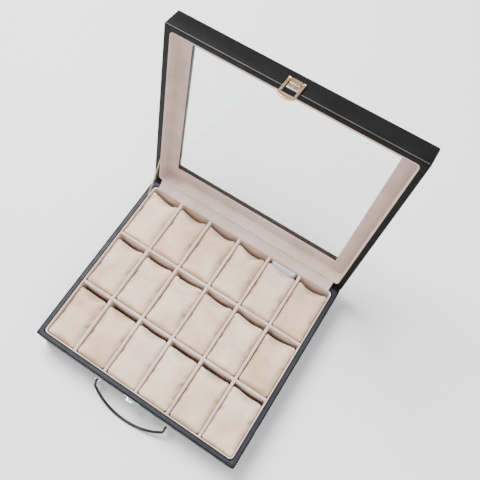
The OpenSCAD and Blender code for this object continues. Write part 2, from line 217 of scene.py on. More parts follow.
def rounded_rectangle(low, high, r):
    (x0, y0), (x1, y1) = low, high
    return (
        arc((x1 - r, y1 - r), r, 0, 90)
        + arc((x0 + r, y1 - r), r, 90, 180)
        + arc((x0 + r, y0 + r), r, 180, 270)
        + arc((x1 - r, y0 + r), r, 270, 360)
    )


def tube_mesh(name, line, radii, across, sides):
    """A closed tube along line, with its own radius at each point of it."""
    points = []
    for i, p in enumerate(line):
        ahead = line[min(i + 1, len(line) - 1)] - line[max(i - 1, 0)]
        side = Vector(across)
        side = (side - side.project(ahead)).normalized()
        up = ahead.normalized().cross(side)
        for k in range(sides):
            a = 2 * math.pi * k / sides
            points.append(p + radii[i] * (math.cos(a) * side + math.sin(a) * up))
    faces = grid_faces(len(line), sides)
    last = (len(line) - 1) * sides
    faces += [tuple(range(sides)), tuple(range(last, last + sides))]
    return mesh_from(name, points, faces, sharp=60)


def join_meshes(name, meshes):
    bm = bmesh.new()
    for mesh in meshes:
        bm.from_mesh(mesh)
        bpy.data.meshes.remove(mesh)
    joined = bpy.data.meshes.new(name)
    bm.to_mesh(joined)
    bm.free()
    joined.shade_smooth()
    joined.set_sharp_from_angle(angle=math.radians(40))
    return joined


# ---- pieces ----

def add_piece(name, mesh, material, body=None, replaced=(), place=None):
    """Links a mesh as a piece, moved by place; it rides on body and stands for CAD nodes."""
    if place:
        mesh.transform(place)
    mesh.name = name
    for one in material if isinstance(material, tuple) else (material,):
        mesh.materials.append(one)
    piece = bpy.data.objects.new(name, mesh)
    bpy.context.scene.collection.objects.link(piece)
    if body:
        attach(piece, body)
    if replaced:
        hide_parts(*replaced)
    return piece


# ---- materials ----

class Shader:
    """One node material: a Principled shader, fed by patterns that stay fixed to the object."""

    def __init__(self, name, **values):
        self.material = bpy.data.materials.new(name)
        self.material.use_nodes = True
        self.tree = self.material.node_tree
        self.main = self.tree.nodes["Principled BSDF"]
        self.place = self.tree.nodes.new("ShaderNodeTexCoord").outputs["Object"]
        self.normal = None
        for key, value in values.items():
            self.main.inputs[key.replace("_", " ")].default_value = value

    def link(self, source, target):
        self.tree.links.new(source, target)

    def turned(self, degrees, stretch=(1, 1, 1)):
        """The object's coordinates, turned about each axis and stretched."""
        node = self.tree.nodes.new("ShaderNodeMapping")
        node.inputs["Rotation"].default_value = [math.radians(d) for d in degrees]
        node.inputs["Scale"].default_value = stretch
        self.link(self.place, node.inputs["Vector"])
        return node.outputs["Vector"]

    def facing(self, axis):
        """How far the surface faces along one axis of the object."""
        node = self.tree.nodes.new("ShaderNodeSeparateXYZ")
        self.link(self.place.node.outputs["Normal"], node.inputs["Vector"])
        return node.outputs[axis]

    def noise(self, scale, detail=3.0, rough=0.5, twist=0.0, place=None):
        node = self.tree.nodes.new("ShaderNodeTexNoise")
        node.inputs["Scale"].default_value = scale
        node.inputs["Detail"].default_value = detail
        node.inputs["Roughness"].default_value = rough
        node.inputs["Distortion"].default_value = twist
        self.link(place or self.place, node.inputs["Vector"])
        return node.outputs["Fac"]

    def waves(self, scale, place, twist=1.0):
        node = self.tree.nodes.new("ShaderNodeTexWave")
        node.inputs["Scale"].default_value = scale
        node.inputs["Distortion"].default_value = twist
        node.inputs["Detail"].default_value = 2
        node.inputs["Detail Scale"].default_value = 2
        self.link(place, node.inputs["Vector"])
        return node.outputs["Fac"]

    def blend(self, kind, a, b):
        node = self.tree.nodes.new("ShaderNodeMath")
        node.operation = kind
        for socket, value in zip(node.inputs, (a, b)):
            if isinstance(value, (int, float)):
                socket.default_value = value
            else:
                self.link(value, socket)
        return node.outputs["Value"]

    def span(self, value, low, high, clip_low=0.3, clip_high=0.7):
        """value between the clips, spread from low to high."""
        node = self.tree.nodes.new("ShaderNodeMapRange")
        node.inputs["From Min"].default_value = clip_low
        node.inputs["From Max"].default_value = clip_high
        node.inputs["To Min"].default_value = low
        node.inputs["To Max"].default_value = high
        self.link(value, node.inputs["Value"])
        return node.outputs["Result"]

    def colours(self, value, *stops):
        """value turned into a colour, through (place, colour) stops."""
        ramp = self.tree.nodes.new("ShaderNodeValToRGB")
        elements = ramp.color_ramp.elements
        while len(elements) < len(stops):
            elements.new(0.5)
        for element, (at, colour) in zip(elements, stops):
            element.position = at
            element.color = (*colour, 1)
        self.link(value, ramp.inputs["Fac"])
        return ramp.outputs["Color"]

    def tint(self, colour):
        self.link(colour, self.main.inputs["Base Color"])

    def rough(self, value):
        self.link(value, self.main.inputs["Roughness"])

    def bump(self, height, strength, distance):
        node = self.tree.nodes.new("ShaderNodeBump")
        node.inputs["Strength"].default_value = strength
        node.inputs["Distance"].default_value = distance
        self.link(height, node.inputs["Height"])
        if self.normal:
            self.link(self.normal, node.inputs["Normal"])
        self.normal = node.outputs["Normal"]
        self.link(self.normal, self.main.inputs["Normal"])


def leather(name, dark, light, grain=1.0, gloss=0.14):
    """Coated leather with a fine crossed grain, a low sheen and faintly worn patches."""
    s = Shader(name, Specular_IOR_Level=gloss)
    across = s.waves(420, s.turned((35, 20, 45)), twist=2.0)
    along = s.waves(420, s.turned((-35, 20, -45)), twist=2.0)
    weave = s.blend("MULTIPLY", across, along)
    patches = s.noise(35, detail=4)
    mixed = s.blend("ADD", s.blend("MULTIPLY", weave, 0.35), s.blend("MULTIPLY", patches, 0.65))
    s.tint(s.colours(mixed, (0.25, dark), (0.75, light)))
    s.rough(s.span(s.noise(90), 0.36, 0.5))
    s.bump(weave, 0.35 * grain, 0.0002)
    s.bump(s.noise(2600, detail=2), 0.25 * grain, 0.0001)
    return s.material


def velvet(name, deep, mid, pale):
    """Short pile with a soft sheen, brushed patches and fine nap."""
    s = Shader(name, Roughness=0.95, Specular_IOR_Level=0.15,
               Sheen_Weight=0.35, Sheen_Roughness=0.5)
    s.main.inputs["Sheen Tint"].default_value = (1, 0.95, 0.92, 1)
    brushed = s.noise(28, detail=4, twist=0.6)
    nap = s.noise(1500, detail=3)
    mixed = s.blend("ADD", s.blend("MULTIPLY", brushed, 0.7), s.blend("MULTIPLY", nap, 0.3))
    s.tint(s.colours(mixed, (0.2, deep), (0.5, mid), (0.8, pale)))
    s.bump(nap, 0.5, 0.00015)
    s.bump(s.noise(260, detail=3), 0.2, 0.0003)
    return s.material


def suede(name, deep, mid, pale):
    """Brushed suede: a soft nap lying in patches, with small and wide creases."""
    s = Shader(name, Roughness=0.9, Specular_IOR_Level=0.2,
               Sheen_Weight=0.45, Sheen_Roughness=0.45)
    s.main.inputs["Sheen Tint"].default_value = (1, 0.96, 0.92, 1)
    brushed = s.noise(24, detail=3, twist=0.4)
    nap = s.noise(1900, detail=2)
    # Cloth that faces the front is painted browner: painted shade where the pillows' front edges
    # curve down away from the light
    front_shade = s.span(s.facing(1), -0.5, 0, -0.95, 0.1)
    mixed = s.blend("ADD", s.blend("MULTIPLY", brushed, 0.7), s.blend("MULTIPLY", nap, 0.3))
    mixed = s.blend("ADD", mixed, front_shade)
    s.tint(s.colours(mixed, (0.2, deep), (0.5, mid), (0.68, pale)))
    s.bump(nap, 0.4, 0.00012)
    small = s.noise(110, detail=2, twist=0.9, place=s.turned((0, 0, 30), (1, 0.45, 1)))
    s.bump(small, 0.6, 0.0014)
    wide = s.noise(46, detail=1, twist=0.5, place=s.turned((0, 0, -35), (1, 0.6, 1)))
    s.bump(wide, 0.6, 0.0042)
    return s.material


def plated(name, colour, dull, low=0.14, high=0.3):
    """Polished plating, with faint brushing and slightly duller patches."""
    s = Shader(name, Metallic=1.0)
    s.tint(s.colours(s.noise(160, detail=3), (0.3, dull), (0.7, colour)))
    brushing = s.noise(900, place=s.turned((0, 0, 0), (0.08, 1, 1)))
    s.rough(s.span(s.blend("ADD", s.blend("MULTIPLY", brushing, 0.5),
                           s.blend("MULTIPLY", s.noise(240), 0.5)), low, high))
    s.bump(brushing, 0.06, 0.00005)
    return s.material


def fibreboard(name):
    """Bare brown board with long fibres."""
    s = Shader(name, Roughness=0.85)
    fibres = s.noise(700, detail=5, place=s.turned((0, 0, 0), (1, 1, 3)))
    s.tint(s.colours(fibres, (0.3, (0.22, 0.13, 0.06)), (0.7, (0.46, 0.31, 0.17))))
    s.bump(fibres, 0.3, 0.0002)
    return s.material


def clear_glass(name):
    """Clear glass, faintly smeared: it mirrors more at a slant and bends nothing behind it."""
    material = bpy.data.materials.new(name)
    material.use_nodes = True
    tree = material.node_tree
    tree.nodes.remove(tree.nodes["Principled BSDF"])
    place = tree.nodes.new("ShaderNodeTexCoord").outputs["Object"]
    smear = tree.nodes.new("ShaderNodeTexNoise")
    smear.inputs["Scale"].default_value = 14
    tree.links.new(place, smear.inputs["Vector"])
    rough = tree.nodes.new("ShaderNodeMapRange")
    rough.inputs["To Min"].default_value = 0.0
    rough.inputs["To Max"].default_value = 0.05
    tree.links.new(smear.outputs["Fac"], rough.inputs["Value"])
    mirror = tree.nodes.new("ShaderNodeBsdfGlossy")
    tree.links.new(rough.outputs["Result"], mirror.inputs["Roughness"])
    through = tree.nodes.new("ShaderNodeBsdfTransparent")
    through.inputs["Color"].default_value = (0.965, 0.978, 0.975, 1)
    facing = tree.nodes.new("ShaderNodeLayerWeight")
    facing.inputs["Blend"].default_value = 0.5
    edge = tree.nodes.new("ShaderNodeMath")
    edge.operation = "POWER"
    edge.inputs[1].default_value = 5
    tree.links.new(facing.outputs["Facing"], edge.inputs[0])
    share = tree.nodes.new("ShaderNodeMapRange")
    share.inputs["To Min"].default_value = 0.04
    tree.links.new(edge.outputs["Value"], share.inputs["Value"])
    mix = tree.nodes.new("ShaderNodeMixShader")
    tree.links.new(share.outputs["Result"], mix.inputs["Fac"])
    tree.links.new(through.outputs["BSDF"], mix.inputs[1])
    tree.links.new(mirror.outputs["BSDF"], mix.inputs[2])
    tree.links.new(mix.outputs["Shader"], tree.nodes["Material Output"].inputs["Surface"])
    return material


def woven(name, deep, pale, scale=2600):
    """A fine weave, for the ribbon, the thread and the sachet's fibrous paper."""
    s = Shader(name, Roughness=0.6, Specular_IOR_Level=0.3, Sheen_Weight=0.2)
    threads = s.waves(scale, s.turned((0, 0, 0)), twist=0.4)
    s.tint(s.colours(s.blend("ADD", s.blend("MULTIPLY", threads, 0.4),
                             s.blend("MULTIPLY", s.noise(300), 0.6)), (0.3, deep), (0.7, pale)))
    s.bump(threads, 0.3, 0.0001)
    return s.material


LEATHER = leather("black_leather", (0.0022, 0.0022, 0.0024), (0.007, 0.007, 0.0074))
# Lighter grey leather for the lid's rim fold: a painted highlight
PAINTED_HIGHLIGHT_LEATHER = leather("painted_highlight_leather", (0.05, 0.05, 0.052), (0.12, 0.12, 0.12), gloss=0.4)
# Lighter blue-grey leather for the base's up-facing rim strip: a painted sheen of the overhead
# light
PAINTED_SHEEN_RIM_LEATHER = leather("painted_sheen_rim_leather", (0.012, 0.0125, 0.018), (0.027, 0.028, 0.039), 1.3, 0.2)
HANDLE_LEATHER = leather("handle_leather", (0.004, 0.004, 0.004), (0.011, 0.011, 0.012), 0.7, 0.4)
THREAD = woven("black_thread", (0.012, 0.012, 0.012), (0.03, 0.03, 0.03))
VELVET = velvet("velvet", (0.45, 0.33, 0.275), (0.60, 0.46, 0.395), (0.73, 0.59, 0.525))
SUEDES = [
    suede("suede_pale", (0.52, 0.36, 0.24), (0.74, 0.575, 0.435), (0.83, 0.68, 0.55)),
    suede("suede_cream", (0.48, 0.32, 0.20), (0.70, 0.53, 0.385), (0.80, 0.645, 0.50)),
    suede("suede_tan", (0.45, 0.29, 0.175), (0.655, 0.48, 0.335), (0.76, 0.595, 0.45)),
]
GOLD = plated("rose_gold", (0.78, 0.53, 0.33), (0.68, 0.44, 0.26))
STEEL = plated("bright_steel", (0.86, 0.87, 0.89), (0.74, 0.75, 0.77), low=0.1, high=0.22)
BOARD = fibreboard("fibreboard")
GLASS = clear_glass("clear_glass")
RIBBON = woven("ribbon_satin", (0.46, 0.37, 0.22), (0.66, 0.56, 0.38))
PAPER = woven("sachet_paper", (0.58, 0.58, 0.72), (0.78, 0.79, 0.90), scale=900)


# ---- leather covers and linings ----

EDGE_R = 0.9 * MM  # of the covers' outer edges
SKIN = 1.0 * MM  # thickness of the leather
GROOVE = 0.6 * MM  # width of a pressed groove
TUCK = 3.0 * MM  # how far the leather turns down behind a rim's inner edge
HINGE_ROLL_R = 1.45 * MM


def corner_radius(inset):
    """The outer corners are tight, and the rims' inner corners follow the lining's wider ones."""
    return 2.2 * MM + 2.6 * MM * min(inset / WALL, 1)


def rim_groove(inset, height, way):
    """A narrow groove in a rim, pressed in beside the edge; way is -1 down or 1 up."""
    return [(inset - GROOVE / 2, height, 0), (inset, height + way * 0.35 * MM, 0),
            (inset + GROOVE / 2, height, 0)]


def hinge_fold(side):
    """A small rolled end of leather, glued to the back, that closes the hinge line at one end.

    It is centred on the hinge axis, so the lid clears it at every angle.
    """
    y, z = HINGE.y, HINGE.z
    outline = arc((y, z), HINGE_ROLL_R, -60, 190, 24)
    outline += [(HALF_D - 0.05 * MM, z - 0.9 * MM), (HALF_D - 0.05 * MM, z - 5.2 * MM),
                (HALF_D + 0.3 * MM, z - 5.3 * MM), (HALF_D + 0.55 * MM, z - 5 * MM)]
    start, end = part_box("hinge_cloth")[1].x - 1 * MM, HALF_W - 0.8 * MM
    return bar_mesh("fold", outline, side * start, side * end, 0, 12)


def leather_base():
    low = BASE_LOW.z
    profile = rounded_profile([
        (0, low, 0.4 * MM), (0, RIM_Z, EDGE_R), *rim_groove(EDGE_R + GROOVE, RIM_Z, -1),
        *rim_groove(WALL - 2 * GROOVE, RIM_Z, -1), (WALL, RIM_Z, 0.3 * MM), (WALL, RIM_Z - TUCK, 0),
        (WALL - SKIN, RIM_Z - TUCK, 0), (WALL - SKIN, RIM_Z - SKIN, 0), (SKIN, RIM_Z - SKIN, 0),
        (SKIN, low, 0),
    ])
    mesh = ring_mesh("leather_base", HALF_W, HALF_D, profile, corner_radius)
    mesh = join_meshes("leather_base", [mesh, *(hinge_fold(side) for side in (-1, 1))])
    strip_low, strip_high = EDGE_R + GROOVE, WALL - 2 * GROOVE
    # The up-facing rim strip between the grooves takes the lighter leather: a painted sheen
    for face in mesh.polygons:
        x, y, z = face.center
        inset = min(HALF_W - abs(x), HALF_D - abs(y))
        if z > RIM_Z - 0.1 * MM and strip_low < inset < strip_high:
            face.material_index = 1
    add_piece("leather_base", mesh, (LEATHER, PAINTED_SHEEN_RIM_LEATHER), "base",
              ["base_leather_cover"])


def leather_lid():
    inner = HALF_W - WINDOW_W

    def radius(inset):
        return corner_radius(inset) if inset <= WALL else 0.4 * MM

    profile = rounded_profile([
        (WALL, 0, 0.3 * MM), *reversed(rim_groove(EDGE_R + GROOVE, 0, 1)), (0, 0, EDGE_R),
        (0, LID_H, EDGE_R), (inner, LID_H, 0.6 * MM),
        (inner, GLASS_TOP + 0.2 * MM, 0), (inner - SKIN, GLASS_TOP + 0.2 * MM, 0),
        (inner - SKIN, LID_H - SKIN, 0), (SKIN, LID_H - SKIN, 0), (SKIN, SKIN, 0),
        (WALL - SKIN, SKIN, 0), (WALL - SKIN, TUCK, 0), (WALL, TUCK, 0),
    ])
    mesh = ring_mesh("leather_lid", HALF_W, HALF_D, profile, radius)
    for face in mesh.polygons:
        x, y, z = face.center
        inset = min(HALF_W - abs(x), HALF_D - abs(y))
        # The fold round the rim gets lighter grey leather: a painted highlight where the edge
        # catches the light
        if z < 0.55 * EDGE_R and inset < 0.55 * EDGE_R:
            face.material_index = 1
    add_piece("leather_lid", mesh, (LEATHER, PAINTED_HIGHLIGHT_LEATHER), "lid",
              ["lid_leather_cover"], LID_PLACE)


def lining_radius(inset):
    """The lining's corners: wide against the wall, and tighter on its inner face."""
    return 5.5 * MM - 1.5 * MM * min(max(inset - WALL, 0) / LINING, 1)


def wall_lining(name, low, high, lip, body, node, place=None):
    """The padded lining of the walls; lip rounds the edge at the rim."""
    rim, foot = (high, low) if place is None else (low, high)
    profile = rounded_profile([
        (WALL, rim, 0.5 * MM), (WALL + LINING, rim, lip), (WALL + LINING, foot, 0), (WALL, foot, 0),
    ])
    mesh = ring_mesh(name, HALF_W, HALF_D, profile, lining_radius)
    add_piece(name, mesh, VELVET, body, [node], place)


def frame_lining():
    """Velvet-covered frame round the window, with a soft edge at the opening."""
    inner = HALF_W - WINDOW_W
    start = WALL + LINING
    profile = rounded_profile([
        (start, FRAME_HIGH, 0), (start, FRAME_LOW, 0), (inner, FRAME_LOW, 0.8 * MM),
        (inner, FRAME_HIGH, 0.3 * MM),
    ])

    def radius(inset):
        return 0.5 * MM + (lining_radius(start) - 0.5 * MM) * (inner - inset) / (inner - start)

    mesh = ring_mesh("window_frame_velvet", HALF_W, HALF_D, profile, radius)
    add_piece("window_frame_velvet", mesh, VELVET, "lid", ["window_frame_lining"],
              LID_PLACE)


def soften(mesh, amount, scale):
    """Moves a mesh's points by smooth noise, so that cloth-covered edges aren't dead straight."""
    for v in mesh.vertices:
        v.co += amount * noise.noise_vector(v.co * scale)


def divider(node, axis):
    """A velvet-covered board along axis, with a rounded top; the long ones stand a hair higher."""
    low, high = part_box(node)
    across = 1 - axis
    a, b = low[across], high[across]
    top = high.z + (0.25 * MM if axis == 1 else 0)
    crown = 1.7 * MM
    profile = rounded_profile([(a, low.z, 0), (a, top, crown), (b, top, crown), (b, low.z, 0)])
    profile = [(p.x, p.y) for p in profile]
    mesh = bar_mesh(node, profile, low[axis], high[axis], axis, steps=60)
    soften(mesh, 0.25 * MM, 60)
    add_piece(f"{node}_velvet", mesh, VELVET, "base", [node])


leather_base()
leather_lid()
wall_lining("base_velvet", FLOOR_HIGH.z, RIM_Z + 0.1 * MM, 1.2 * MM, "base", "base_wall_lining")
wall_lining("lid_velvet", -0.1 * MM, FRAME_HIGH, 1.2 * MM, "lid", "lid_wall_lining", LID_PLACE)
frame_lining()
for kind, axis in (("long_divider", 1), ("cross_divider", 0)):
    for node in sorted(n for n in frame["nodes"] if n.startswith(kind)):
        divider(node, axis)


# ---- pillows ----

PILLOWS = sorted(n for n in frame["nodes"] if n.startswith("pillow"))
GROW = 10  # cloth behaves better at ten times life size
CELL = 2.4 * MM  # side of a face of the cloth
PILLOW_R = 6 * MM
SIM_FRAMES = 20
TRAVEL = 4.5 * MM  # how far the filling may move a point
# How far a pillow may stand out of its CAD solid, below and above it along X, Y and Z
PROUD = ((0.4 * MM, 0.4 * MM), (0.5 * MM, 5.5 * MM), (0.1 * MM, 2.6 * MM))
GIVE = (0.8 * MM, 1.2 * MM, 1.2 * MM)  # over which a pillow flattens before it gets there


def box_surface(nx, ny, nz):
    """Points and quads over a box from -1 to 1 each way."""
    index, points, faces = {}, [], []

    def at(i, j, k):
        key = (i, j, k)
        if key not in index:
            index[key] = len(points)
            points.append((2 * i / nx - 1, 2 * j / ny - 1, 2 * k / nz - 1))
        return index[key]

    for k in (0, nz):
        for i in range(nx):
            for j in range(ny):
                faces.append((at(i, j, k), at(i + 1, j, k), at(i + 1, j + 1, k), at(i, j + 1, k)))
    for j in (0, ny):
        for i in range(nx):
            for k in range(nz):
                faces.append((at(i, j, k), at(i + 1, j, k), at(i + 1, j, k + 1), at(i, j, k + 1)))
    for i in (0, nx):
        for j in range(ny):
            for k in range(nz):
                faces.append((at(i, j, k), at(i, j + 1, k), at(i, j + 1, k + 1), at(i, j, k + 1)))
    return np.array(points), faces


def rounded_box(unit, half, r):
    """The points of box_surface, spread over a box with rounded edges."""
    p = unit * half
    core = np.clip(p, -(half - r), half - r)
    out = p - core
    length = np.linalg.norm(out, axis=1, keepdims=True)
    return core + np.where(length > 0, out / np.maximum(length, 1e-9), 0) * r


def bell(distance, width):
    return np.exp(-((distance / width) ** 2))


def pillow_shape(node, draw):
    """Points of one pillow before it is filled, its faces, and how firmly each point is held."""
    low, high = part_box(node)
    middle = np.array((low + high) / 2)
    half = np.array((high - low) / 2)
    counts = [round(2 * h / CELL) for h in half]
    unit, faces = box_surface(*counts)
    p = rounded_box(unit, half, PILLOW_R)
    u, v, w = (p / half).T
    upper = np.clip((w + 0.2) / 1.2, 0, 1)
    back = np.clip((v - 0.35) / 0.65, 0, 1) ** 2
    # The back edge is drawn in near its middle, and its corners reach out
    hollow = draw.uniform(3.5, 7.0) * MM
    lean = draw.uniform(-0.4, 0.4)
    reach = draw.uniform(3.0, 5.5) * MM
    dip = draw.uniform(1.0, 2.5) * MM
    p[:, 1] -= hollow * back * upper * bell(u - lean, 0.75)
    p[:, 1] += reach * back * upper * np.abs(u) ** 4
    p[:, 2] -= dip * back * upper * bell(u - lean, 0.8)
    # The filling heaps up a little in front of the middle
    heap = draw.uniform(1.5, 3.0) * MM
    p[:, 2] += heap * (np.clip(1 - u ** 2, 0, 1) * np.clip(1 - (v + 0.15) ** 2, 0, 1)) * upper
    corners = np.clip(np.abs(u) - 0.86, 0, 1) * np.clip(np.abs(v) - 0.86, 0, 1) * 60
    foot = np.clip((-0.75 - w) / 0.2, 0, 1)
    rim = back * upper * bell(u - lean, 0.5) * bell(w - 0.8, 0.25)
    hold = np.clip(np.maximum.reduce([corners, foot, 0.7 * rim]), 0, 1)
    shift = Vector((draw.random() * 9, 0, 0))
    jitter = np.array([noise.noise_vector(Vector(q) * 70 + shift) for q in p])
    return p + middle + 0.5 * MM * jitter, faces, hold


def gathered(points, low, high, draw):
    """A stitched gather on each long side and one at a back corner, with folds fanning out."""
    side_reach, corner_reach, fold_height, gather_w = 11 * MM, 13 * MM, 0.85 * MM, 3.4 * MM
    half = np.array((high - low) / 2)
    p = points - np.array((low + high) / 2)
    spots = [(side * half[0], draw.uniform(-0.25, 0.3) * half[1], side_reach) for side in (-1, 1)]
    spots.append((draw.choice((-1, 1)) * half[0] * 0.9, half[1] * 0.85, corner_reach))
    upper = np.clip(p[:, 2] / half[2], 0, 1)
    for x, y, reach in spots:
        dx, dy = p[:, 0] - x, p[:, 1] - y
        away = np.hypot(dx, dy)
        fan = np.arctan2(dy, dx)
        folds = draw.choice((5, 6, 7))
        wave = np.cos(folds * fan + draw.uniform(0, 6)) * np.clip(away / (3 * MM), 0, 1)
        p[:, 2] += fold_height * wave * np.exp(-away / reach) * upper
        pull = bell(away, gather_w) * upper
        p[:, 0] -= math.copysign(draw.uniform(1.3, 2.3) * MM, x) * pull
        p[:, 2] -= draw.uniform(0.9, 1.8) * MM * pull
    return p + np.array((low + high) / 2)


def flat_points(mesh):
    """A mesh's coordinates, in one row."""
    points = np.zeros(len(mesh.vertices) * 3, np.float32)
    mesh.vertices.foreach_get("co", points)
    return points


def fill_with_cloth(pillows, draw):
    """Swells every pillow at once with Blender's Cloth, and keeps the result in its mesh."""
    scene = bpy.context.scene
    for piece in pillows:
        settings = piece.modifiers.new("fill", "CLOTH").settings
        settings.quality = 6
        settings.mass = 0.25
        settings.tension_stiffness = 12
        settings.compression_stiffness = 6
        settings.shear_stiffness = 4
        settings.bending_stiffness = 0.25
        settings.use_pressure = True
        settings.uniform_pressure_force = draw.uniform(8, 12)
        settings.shrink_min = draw.uniform(-0.09, -0.05)
        settings.vertex_group_mass = "held"
        settings.pin_stiffness = 2
        settings.effector_weights.gravity = 0
    scene.frame_start, scene.frame_end = 1, SIM_FRAMES
    for f in range(1, SIM_FRAMES + 1):
        scene.frame_set(f)
    graph = bpy.context.evaluated_depsgraph_get()
    filled = [flat_points(piece.evaluated_get(graph).data) for piece in pillows]
    for piece, points in zip(pillows, filled):
        piece.modifiers.clear()
        piece.data.vertices.foreach_set("co", points)
        piece.data.update()
    scene.frame_set(1)


def soft_limit(values, low, high, give):
    """Keeps values between low and high, flattening gently over the last give before each."""
    middle, half = (low + high) / 2, (high - low) / 2
    over = np.abs(values - middle) - (half - give)
    pressed = half - give + give * (1 - np.exp(-np.maximum(over, 0) / give))
    return np.where(over > 0, middle + np.sign(values - middle) * pressed, values)


def outward(name, points, faces):
    """A mesh whose faces all point out, which pressure needs, with its points in the same order."""
    mesh = bpy.data.meshes.new(name)
    mesh.from_pydata([tuple(p) for p in points], [], faces)
    bm = bmesh.new()
    bm.from_mesh(mesh)
    bmesh.ops.recalc_face_normals(bm, faces=bm.faces)
    bm.to_mesh(mesh)
    bm.free()
    return mesh


def raw_pillow(node, draw):
    """A pillow's object before it is filled, grown, and its points at life size."""
    points, faces, hold = pillow_shape(node, draw)
    piece = bpy.data.objects.new(node + "_suede", outward(node, points * GROW, faces))
    bpy.context.scene.collection.objects.link(piece)
    group = piece.vertex_groups.new(name="held")
    for i, h in enumerate(hold):
        if h > 0.02:
            group.add([i], float(h), "REPLACE")
    return piece, points


def finish_pillow(node, piece, points, draw):
    """Takes the filled pillow back to life size, gathers it, and keeps it within its place."""
    low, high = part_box(node)
    co = flat_points(piece.data).reshape(-1, 3) / GROW
    travel = co - points
    length = np.linalg.norm(travel, axis=1, keepdims=True)
    co = points + travel * np.minimum(1, TRAVEL / np.maximum(length, 1e-9))
    co = gathered(co, low, high, draw)
    for i, ((under, over), give) in enumerate(zip(PROUD, GIVE)):
        co[:, i] = soft_limit(co[:, i], low[i] - under, high[i] + over, give)
    piece.data.vertices.foreach_set("co", co.astype(np.float32).ravel())
    piece.vertex_groups.clear()
    finished(piece.data, sharp=180)
    piece.data.materials.append(SUEDES[draw.randrange(len(SUEDES))])
    smooth = piece.modifiers.new("smooth", "SUBSURF")
    smooth.levels = smooth.render_levels = 1
    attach(piece, node)
    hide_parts(node)


def make_pillows():
    draw = random.Random(18)
    raw = [raw_pillow(node, draw) for node in PILLOWS]
    fill_with_cloth([piece for piece, points in raw], draw)
    for node, (piece, points) in zip(PILLOWS, raw):
        finish_pillow(node, piece, points, draw)


make_pillows()


# ---- the soft strip over the hinge, the ribbon and the sachet ----

def lid_point(x, y, z):
    """Where a point of the closed lid's frame stands."""
    return LID_PLACE @ Vector((x, y, z))


def two_layers(rows, columns):
    """Quads over two grids of points, one behind the other, closed round their edges."""
    size = rows * columns
    faces = []
    for layer in (0, size):
        for i in range(rows - 1):
            for k in range(columns - 1):
                a = layer + i * columns + k
                faces.append((a, a + 1, a + columns + 1, a + columns))
    for i in (0, rows - 1):
        edge = [i * columns + k for k in range(columns)]
        faces += [(a, b, size + b, size + a) for a, b in zip(edge, edge[1:])]
    for k in (0, columns - 1):
        edge = [i * columns + k for i in range(rows)]
        faces += [(a, b, size + b, size + a) for a, b in zip(edge, edge[1:])]
    return faces


def strip_mesh(name, line, half_w, thickness, columns, across=Vector((1, 0, 0)), sag=None):
    """A thin closed sheet along line, half_w to each side of it along across."""
    points = []
    for side in (1, -1):
        for i, p in enumerate(line):
            ahead = line[min(i + 1, len(line) - 1)] - line[max(i - 1, 0)]
            out = across.cross(ahead).normalized()
            for k in range(columns + 1):
                share = 2 * k / columns - 1
                drop = sag(i / (len(line) - 1), share) if sag else 0
                points.append(p + across * half_w * share + out * (side * thickness / 2 + drop))
    return mesh_from(name, points, two_layers(len(line), columns + 1), sharp=60)


def hinge_cloth():
    """A strip of lining cloth glued to both rims; it bridges the gap behind the back row."""
    lining_mid = HALF_D - WALL - LINING / 2
    lift, steps = 0.7 * MM, 12
    start = Vector((0, lining_mid, RIM_Z + lift))
    end = lid_point(0, lining_mid, -lift)
    line = [start.lerp(end, k / steps) for k in range(steps + 1)]
    half_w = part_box("hinge_cloth")[1].x

    def sag(t, share):
        belly = math.sin(math.pi * t) * 0.9 * MM
        return -belly + 0.25 * MM * noise.noise(Vector((share * 9, t * 2, 0)))

    mesh = strip_mesh("hinge_cloth_velvet", line, half_w, 0.6 * MM, 90, sag=sag)
    piece = add_piece("hinge_cloth_velvet", mesh, VELVET, None, ["hinge_cloth"])
    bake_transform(piece)


def ribbon():
    """The stay: a narrow satin ribbon from the base's side lining to the lid's."""
    points = node_points("stay_ribbon")
    x = points[:, 0].mean()
    low = Vector(points[points[:, 2] < points[:, 2].min() + 4 * MM].mean(0))
    high = Vector(points[points[:, 2] > points[:, 2].max() - 4 * MM].mean(0))
    ahead = (high - low).normalized()
    tucked, steps = 6 * MM, 24  # each end goes on behind the lining
    start, end = low - ahead * tucked, high + ahead * tucked
    line = [start.lerp(end, k / steps) for k in range(steps + 1)]
    line = [Vector((x, p.y, p.z)) for p in line]
    across = ahead.cross(Vector((1, 0, 0))).normalized()

    def sag(t, share):
        return 0.5 * MM * math.sin(math.pi * t)

    mesh = strip_mesh("stay_ribbon_satin", line, 2 * MM, 0.5 * MM, 6, across=across, sag=sag)
    piece = add_piece("stay_ribbon_satin", mesh, RIBBON, None, ["stay_ribbon"])
    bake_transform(piece)


def sachet():
    """A small paper bag of drying beads with crimped ends, tucked behind a pillow."""
    low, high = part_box("desiccant_sachet")
    middle = (low + high) / 2
    half_w, half_h = (high.x - low.x) / 2, 12 * MM
    tilt = math.radians(13)
    n, m = 28, 18
    points = []
    for side in (1, -1):
        for i in range(n + 1):
            for j in range(m + 1):
                u, v = 2 * i / n - 1, 2 * j / m - 1
                full = (1 - abs(u) ** 6) * (1 - v ** 4)
                beads = 0.35 * MM * abs(noise.noise(Vector((u * 9, v * 6, side))))
                crimp = 0.25 * MM * math.cos(u * half_w / (0.8 * MM)) * (abs(v) > 0.8)
                thick = side * (0.25 * MM + full * (1.5 * MM + beads)) + crimp
                x, z = u * half_w, v * half_h
                y = thick + 0.6 * MM * noise.noise(Vector((u * 2, v * 2, 4)))
                points.append(middle + Matrix.Rotation(-tilt, 3, "X") @ Vector((x, y, z)))
    mesh = mesh_from("sachet", points, two_layers(n + 1, m + 1), sharp=80)
    piece = add_piece("sachet_paper_bag", mesh, PAPER, "base", ["desiccant_sachet"])


hinge_cloth()
ribbon()
sachet()


# ---- hardware ----

def at_front(y):
    """Stands a plate drawn in XY up at y, facing the front."""
    return Matrix.Translation((0, y, 0)) @ Matrix.Rotation(math.radians(90), 4, "X")


